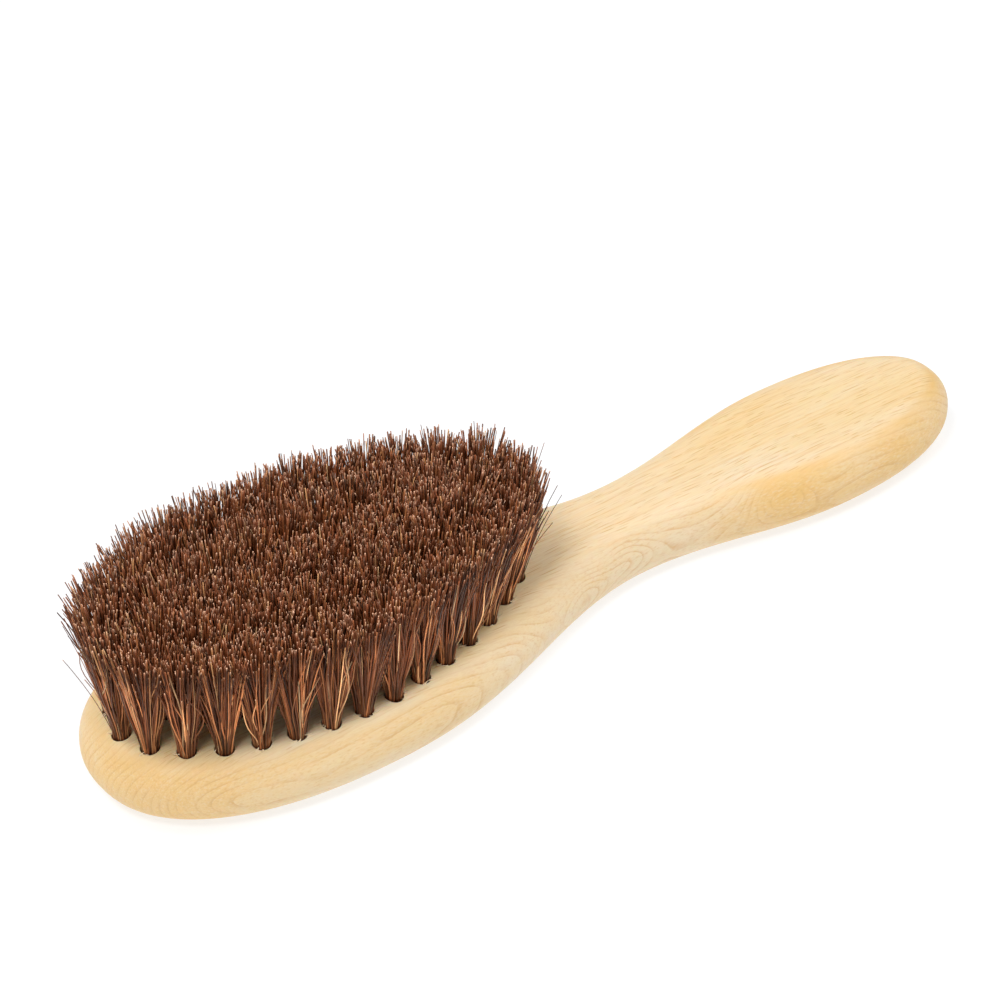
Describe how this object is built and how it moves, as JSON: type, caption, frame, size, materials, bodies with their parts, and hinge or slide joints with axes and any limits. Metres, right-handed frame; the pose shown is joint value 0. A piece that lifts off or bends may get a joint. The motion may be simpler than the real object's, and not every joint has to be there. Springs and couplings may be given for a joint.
{
  "type": "clothes brush",
  "caption": "Handled clothes brush: one-piece beech body with an oval head and paddle handle, filled with separate tufts of stiff brown hair, each held in a blind hole by a flat anchor wire.",
  "frame": {"origin": "on the flat back, half-way along the brush's length and on its centre line", "axes": "+X along the brush from the head towards the handle's end, +Z from the flat back towards the hair tips"},
  "size_m": [0.24, 0.0636, 0.045],
  "materials": {
    "wood": "pale beech, fine sanded and lightly waxed, satin",
    "hair": "stiff reddish-brown animal hair, greyer low down and coppery at the cut tips, soft sheen",
    "wire": "bright drawn flat wire"
  },
  "bodies": {
    "root": {"brush_body": "wood", "anchor_wires": "wire", "outer_tuft_01": "hair", "outer_tuft_02": "hair", "outer_tuft_03": "hair", "outer_tuft_04": "hair", "outer_tuft_05": "hair", "outer_tuft_06": "hair", "outer_tuft_07": "hair", "outer_tuft_08": "hair", "outer_tuft_09": "hair", "outer_tuft_10": "hair", "outer_tuft_11": "hair", "outer_tuft_12": "hair", "outer_tuft_13": "hair", "outer_tuft_14": "hair", "outer_tuft_15": "hair", "outer_tuft_16": "hair", "outer_tuft_17": "hair", "outer_tuft_18": "hair", "outer_tuft_19": "hair", "outer_tuft_20": "hair", "outer_tuft_21": "hair", "outer_tuft_22": "hair", "outer_tuft_23": "hair", "outer_tuft_24": "hair", "outer_tuft_25": "hair", "outer_tuft_26": "hair", "outer_tuft_27": "hair", "outer_tuft_28": "hair", "outer_tuft_29": "hair", "outer_tuft_30": "hair", "inner_tuft_01": "hair", "inner_tuft_02": "hair", "inner_tuft_03": "hair", "inner_tuft_04": "hair", "inner_tuft_05": "hair", "inner_tuft_06": "hair", "inner_tuft_07": "hair", "inner_tuft_08": "hair", "inner_tuft_09": "hair", "inner_tuft_10": "hair", "inner_tuft_11": "hair", "inner_tuft_12": "hair", "inner_tuft_13": "hair", "inner_tuft_14": "hair", "inner_tuft_15": "hair", "inner_tuft_16": "hair", "inner_tuft_17": "hair", "inner_tuft_18": "hair", "inner_tuft_19": "hair", "inner_tuft_20": "hair", "centre_tuft_01": "hair", "centre_tuft_02": "hair", "centre_tuft_03": "hair", "centre_tuft_04": "hair", "centre_tuft_05": "hair", "centre_tuft_06": "hair", "centre_tuft_07": "hair", "centre_tuft_08": "hair"}
  },
  "joints": []
}
